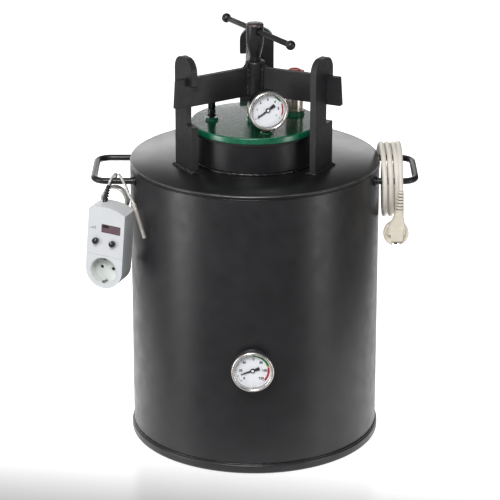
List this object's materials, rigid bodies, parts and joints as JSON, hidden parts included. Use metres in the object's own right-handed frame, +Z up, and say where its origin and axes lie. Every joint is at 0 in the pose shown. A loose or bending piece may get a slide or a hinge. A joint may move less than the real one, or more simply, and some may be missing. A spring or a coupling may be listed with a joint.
{
  "type": "pressure canner",
  "caption": "Black electric canning vessel with a green lid held by a three-armed screw clamp, lid gauge, body thermometer, plug-in thermostat and wound mains lead.",
  "frame": {"origin": "centre of the flat bottom plate, on the floor", "axes": "+Z up along the vessel's axis, -Y is the front with the thermometer, +X is the side of the mains lead"},
  "size_m": [0.5155, 0.4662, 0.668],
  "materials": {
    "black_paint": "matte powder coat",
    "top_paint": "satin powder coat",
    "weld": "rough painted weld",
    "handle_paint": "semi-gloss black",
    "brushed_steel": "brushed",
    "case_steel": "satin",
    "dial": "white printed dial",
    "glass": "clear",
    "pointer": "matte",
    "heater_steel": "satin",
    "rack_steel": "satin",
    "box_paint": "matte",
    "screw_steel": "zinc",
    "gland_plastic": "matte",
    "lead": "matte ivory",
    "plug_plastic": "satin ivory",
    "pin_metal": "plated",
    "lid_green": "glossy hammered",
    "gasket_rubber": "matte",
    "brass": "turned",
    "case_black": "satin",
    "nickel": "nickel plated",
    "red_plastic": "glossy",
    "valve_black": "satin",
    "hub_cast": "rough painted",
    "screw_black": "satin",
    "thermostat_white": "fine texture",
    "thermostat_grey": "fine texture",
    "display": "smoked window",
    "circuit": "board",
    "relief_rubber": "matte",
    "knob_plastic": "satin",
    "sensor_lead": "grey sheath",
    "probe_steel": "stainless"
  },
  "bodies": {
    "root": {"bottom_plate": "black_paint", "base_ring": "black_paint", "body_shell": "black_paint", "top_plate": "top_paint", "neck_collar": "black_paint", "weld_beads": "weld", "upright_left": "black_paint", "upright_right": "black_paint", "upright_back": "black_paint", "handle_left": "handle_paint", "handle_right": "handle_paint", "thermometer_stem": "case_steel", "thermometer_case": "case_steel", "thermometer_bezel": "brushed_steel", "thermometer_dial": "dial", "thermometer_glass": "glass", "heater_element": "heater_steel", "heater_flange": "heater_steel", "terminal_box": "box_paint", "terminal_box_screws": "screw_steel", "cable_gland": "gland_plastic", "jar_rack": "rack_steel", "sensor_well": "black_paint", "power_cord": "lead", "cord_coil": "lead", "plug_boot": "plug_plastic", "plug_body": "plug_plastic", "plug_pins": "pin_metal"},
    "lid": {"lid_plate": "lid_green", "lid_spigot": "lid_green", "lid_gasket": "gasket_rubber", "lid_bosses": "lid_green", "gauge_stem": "brass", "gauge_case": "case_black", "gauge_bezel": "brushed_steel", "gauge_dial": "dial", "gauge_glass": "glass", "relief_valve_body": "nickel", "air_valve_stem": "valve_black"},
    "yoke": {"yoke_hub": "hub_cast", "yoke_arms": "black_paint"},
    "screw": {"clamp_screw": "screw_black"},
    "bar": {"tommy_bar": "screw_black"},
    "gauge_pointer": {"gauge_needle": "pointer"},
    "thermometer_pointer": {"thermometer_needle": "pointer"},
    "relief_knob": {"relief_valve_knob": "red_plastic"},
    "air_cap": {"air_valve_cap": "valve_black"},
    "thermostat": {"thermostat_front_cover": "thermostat_white", "thermostat_rear_shell": "thermostat_grey", "thermostat_socket": "thermostat_grey", "thermostat_display": "display", "thermostat_circuit_board": "circuit", "thermostat_plug_pins": "pin_metal", "thermostat_strain_relief": "relief_rubber", "sensor_cable": "sensor_lead", "sensor_coil": "sensor_lead", "sensor_probe": "probe_steel"},
    "left_knob": {"thermostat_knob_left": "knob_plastic"},
    "right_knob": {"thermostat_knob_right": "knob_plastic"}
  },
  "joints": [
    {"name": "screw_turn", "type": "hinge", "parent": "root", "child": "screw", "pos_m": [0, 0, 0.6], "axis": [0, 0, 1], "range_deg": [0, 1260]},
    {"name": "yoke_drop", "type": "slide", "parent": "root", "child": "yoke", "axis": [0, 0, 1], "range_m": [-0.01405, 0]},
    {"name": "tommy_bar_slide", "type": "slide", "parent": "screw", "child": "bar", "axis": [0.515, -0.8572, 0], "range_m": [-0.084, 0.066]},
    {"name": "lid_turn", "type": "hinge", "parent": "root", "child": "lid", "pos_m": [0, 0, 0.5], "axis": [0, 0, 1], "range_deg": [-30, 10]},
    {"name": "gauge_needle_turn", "type": "hinge", "parent": "lid", "child": "gauge_pointer", "pos_m": [0.018, -0.068, 0.5515], "axis": [0.2079, -0.9781, 0], "range_deg": [-252, 0], "stiffness_Nm_per_rad": 0.0005},
    {"name": "thermometer_needle_turn", "type": "hinge", "parent": "root", "child": "thermometer_pointer", "pos_m": [-0.003, -0.215, 0.1815], "axis": [0, -1, 0], "range_deg": [-240, 25], "stiffness_Nm_per_rad": 0.0005},
    {"name": "relief_knob_turn", "type": "hinge", "parent": "lid", "child": "relief_knob", "pos_m": [0.062, 0.034, 0.575], "axis": [0, 0, 1], "range_deg": [0, 90]},
    {"name": "air_cap_turn", "type": "hinge", "parent": "lid", "child": "air_cap", "pos_m": [-0.067, 0.002, 0.54], "axis": [0, 0, 1], "range_deg": [0, 360]},
    {"name": "thermostat_swing", "type": "hinge", "parent": "root", "child": "thermostat", "pos_m": [-0.216, -0.059, 0.4325], "axis": [-1, 0, 0], "range_deg": [0, 40]},
    {"name": "left_knob_turn", "type": "hinge", "parent": "thermostat", "child": "left_knob", "pos_m": [-0.24359, -0.10478, 0.35216], "axis": [-0.3584, -0.9336, 0], "range_deg": [-135, 135]},
    {"name": "right_knob_turn", "type": "hinge", "parent": "thermostat", "child": "right_knob", "pos_m": [-0.21753, -0.11479, 0.34996], "axis": [-0.3584, -0.9336, 0], "range_deg": [-135, 135]}
  ],
  "couplings": [
    {"joint": "yoke_drop", "follows": "screw_turn", "m_per_rad": -0.00063662}
  ]
}
